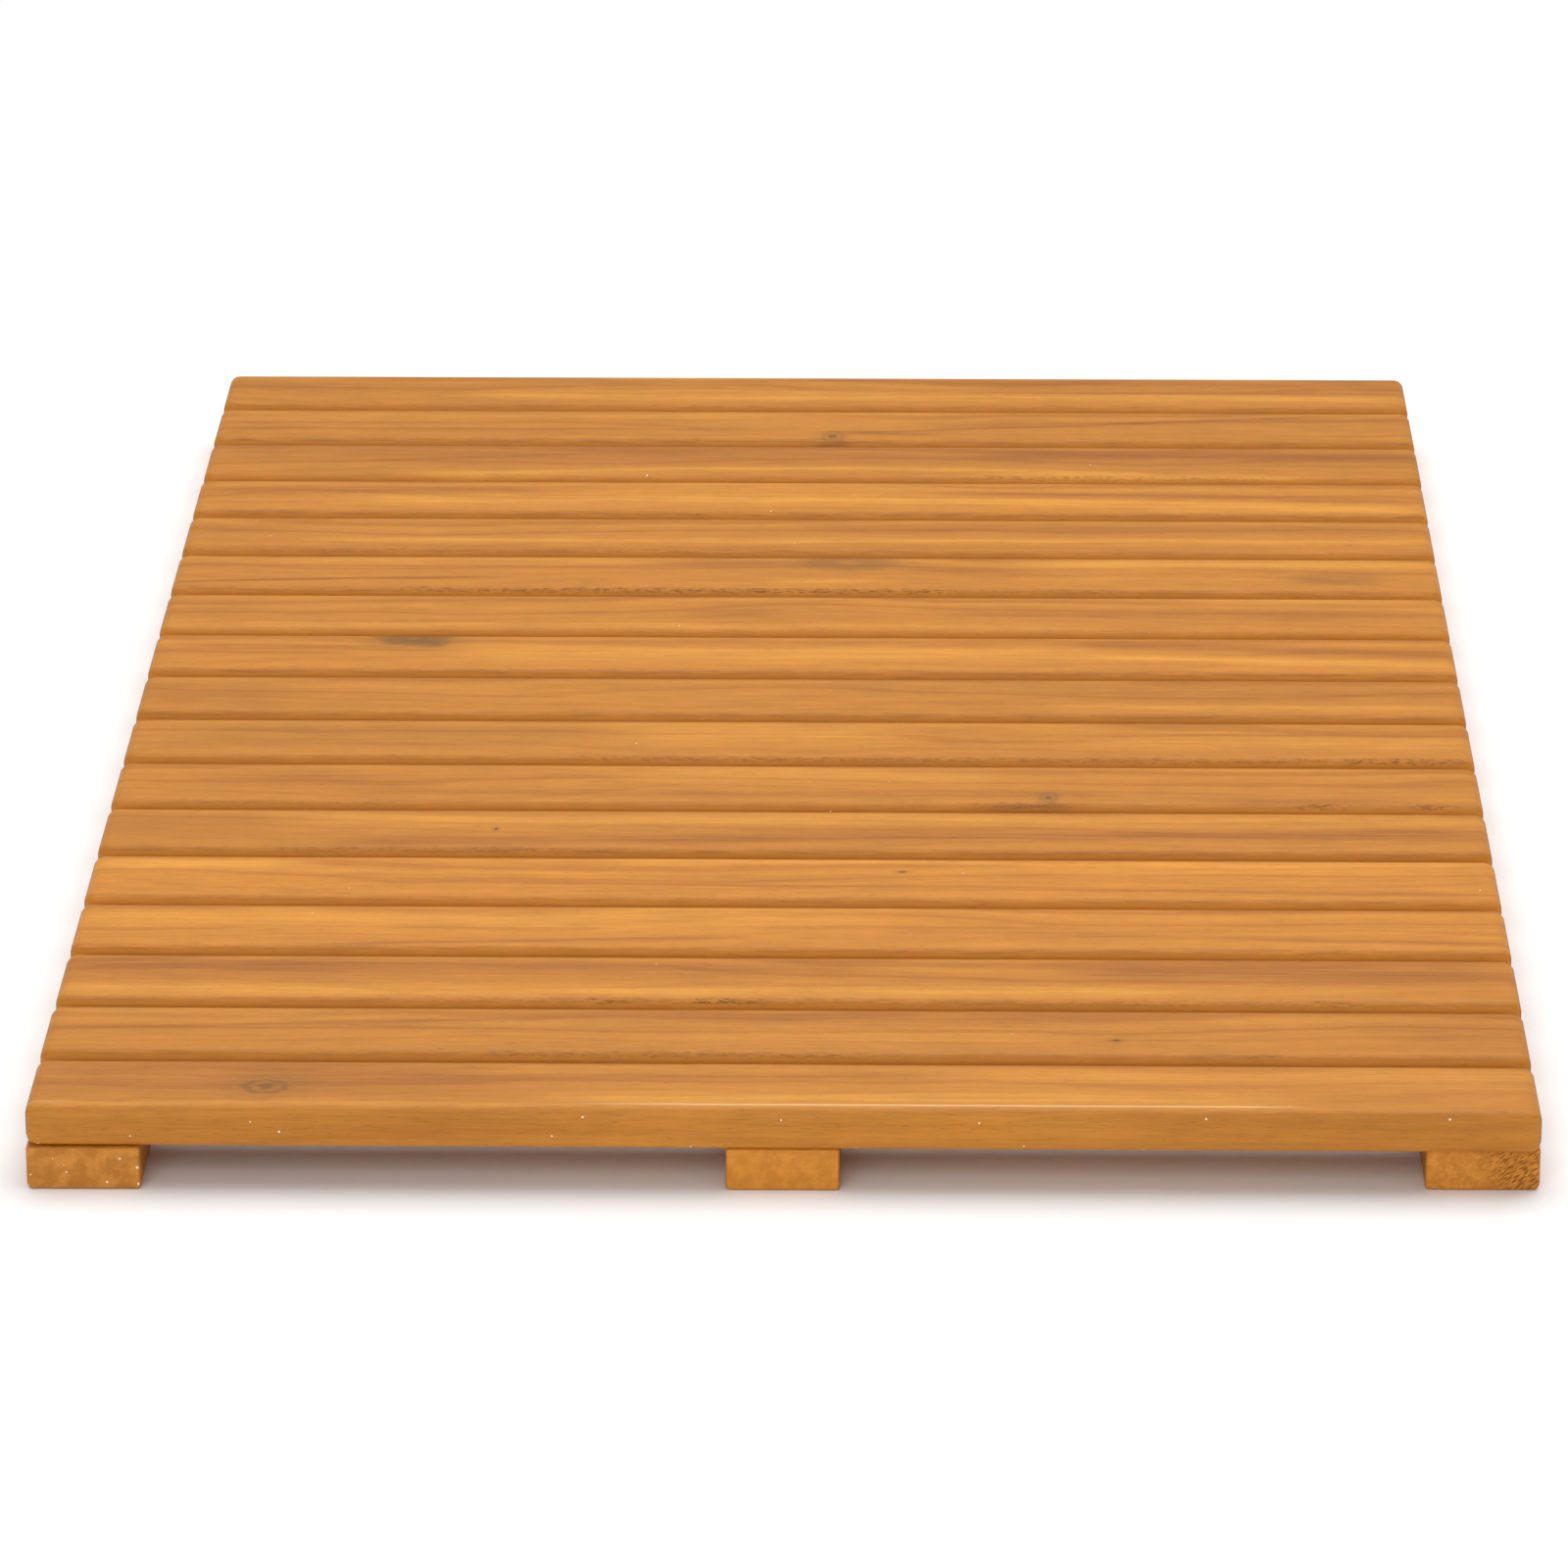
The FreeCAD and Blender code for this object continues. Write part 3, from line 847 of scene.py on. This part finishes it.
slatMiddles = [sum(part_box("slat_%02d" % number), Vector()).y / 2
               for number in range(1, len(slatFigures) + 1)]
for node in runnerNames:
    figure = runnerFigures[node]
    low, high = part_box(node)
    middle = (low + high) / 2
    board = plainBoard(low, high)
    easeRunner(board, low, high)
    divideBoard(board, low, high, 1, runner)
    wearRunner(board, low, high, middle, figure["seed"])
    look = {**wood, **runnerWood, "centre": tuple(middle), **figure}
    piece = toObject(board, node + "_board", makeWood(node + "_wood", look, alongY=True))
    places = [Vector((middle.x, y, 0)) for y in slatMiddles]
    drillOut(piece, makeDrill(runner["hole"], places, "runnerDrill"))
    takePlace(piece, node)
print("runners made:", len(runnerNames))

steel = {
    "base": (0.62, 0.61, 0.59),
    "dull": (0.40, 0.39, 0.37),
    "roughness": 0.32,
    "blotchScale": 420.0,
    "fineScale": 3000.0,
    "fineDepth": 0.00002,
}


def makeSteel(name):
    material = bpy.data.materials.new(name)
    material.use_nodes = True
    tree = material.node_tree
    tree.nodes.clear()
    place = addNode(tree, "ShaderNodeTexCoord").outputs["Object"]
    large = addNode(tree, "ShaderNodeTexNoise", {
        "Vector": place, "Scale": steel["blotchScale"], "Detail": 4.0}).outputs["Fac"]
    fine = addNode(tree, "ShaderNodeTexNoise", {
        "Vector": place, "Scale": steel["fineScale"], "Detail": 2.0}).outputs["Fac"]
    color = blendColor(tree, remap(tree, large, 0.4, 0.7), steel["base"], steel["dull"])
    rough = remap(tree, large, 0.3, 0.7, steel["roughness"] - 0.08, steel["roughness"] + 0.12)
    bump = addNode(tree, "ShaderNodeBump", {
        "Strength": 0.3, "Distance": steel["fineDepth"], "Height": fine})
    shader = addNode(tree, "ShaderNodeBsdfPrincipled", {
        "Base Color": color, "Metallic": 1.0, "Roughness": rough, "Normal": bump.outputs[0]})
    addNode(tree, "ShaderNodeOutputMaterial", {"Surface": shader.outputs[0]})
    return material


screwSteel = makeSteel("screw_steel")
for node in ("left_screws", "centre_screws", "right_screws"):
    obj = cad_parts[node]
    obj.data.materials.clear()
    obj.data.materials.append(screwSteel)
print("screws finished")

floorLook = {"color": (0.93, 0.93, 0.93), "half": 6.0, "roughness": 0.9, "specular": 0.1}


def makeFloor():
    material = bpy.data.materials.new("floorPaper")
    material.use_nodes = True
    shader = material.node_tree.nodes["Principled BSDF"]
    shader.inputs["Base Color"].default_value = (*floorLook["color"], 1)
    shader.inputs["Roughness"].default_value = floorLook["roughness"]
    shader.inputs["Specular IOR Level"].default_value = floorLook["specular"]
    sheet = bmesh.new()
    bmesh.ops.create_grid(sheet, x_segments=2, y_segments=2, size=floorLook["half"])
    floor = toObject(sheet, "floor", material)


makeFloor()

lamps = {
    "overhead": {"place": (0.15, 0.35, 2.2), "aim": (0, 0, 0), "size": 2.6, "power": 52.0},
    "front": {"place": (-0.5, -3.2, 1.7), "aim": (0, -0.2, 0), "size": 2.2, "power": 34.0},
}
for name, lamp in lamps.items():
    light = bpy.data.lights.new(name, "AREA")
    light.shape = "SQUARE"
    light.size = lamp["size"]
    light.energy = lamp["power"]
    obj = bpy.data.objects.new(name, light)
    bpy.context.scene.collection.objects.link(obj)
    obj.location = lamp["place"]
    facing = Vector(lamp["aim"]) - Vector(lamp["place"])
    obj.rotation_euler = facing.to_track_quat("-Z", "Y").to_euler()

studio = {"color": (1.0, 1.0, 1.0), "strength": 0.42}
world = bpy.data.worlds.new("studio")
bpy.context.scene.world = world
world.use_nodes = True
background = world.node_tree.nodes["Background"]
background.inputs["Color"].default_value = (*studio["color"], 1)
background.inputs["Strength"].default_value = studio["strength"]

view = {
    "place": (0.0431, -2.7168, 1.0145),
    "down": 20.58,
    "left": 1.047,
    "roll": 0.113,
    "lens": 175.73,
    "sensor": 36.0,
    "clip": (0.05, 60.0),
}
cameraData = bpy.data.cameras.new("camera")
cameraData.lens = view["lens"]
cameraData.sensor_width = view["sensor"]
cameraData.clip_start, cameraData.clip_end = view["clip"]
camera = bpy.data.objects.new("camera", cameraData)
bpy.context.scene.collection.objects.link(camera)
aim = (Matrix.Rotation(math.radians(view["left"]), 4, "Z")
       @ Matrix.Rotation(math.radians(90 - view["down"]), 4, "X")
       @ Matrix.Rotation(math.radians(-view["roll"]), 4, "Z"))
camera.matrix_world = Matrix.Translation(view["place"]) @ aim
bpy.context.scene.camera = camera
bpy.context.scene.view_settings.view_transform = "Standard"
print("stage set")

bpy.context.view_layer.update()
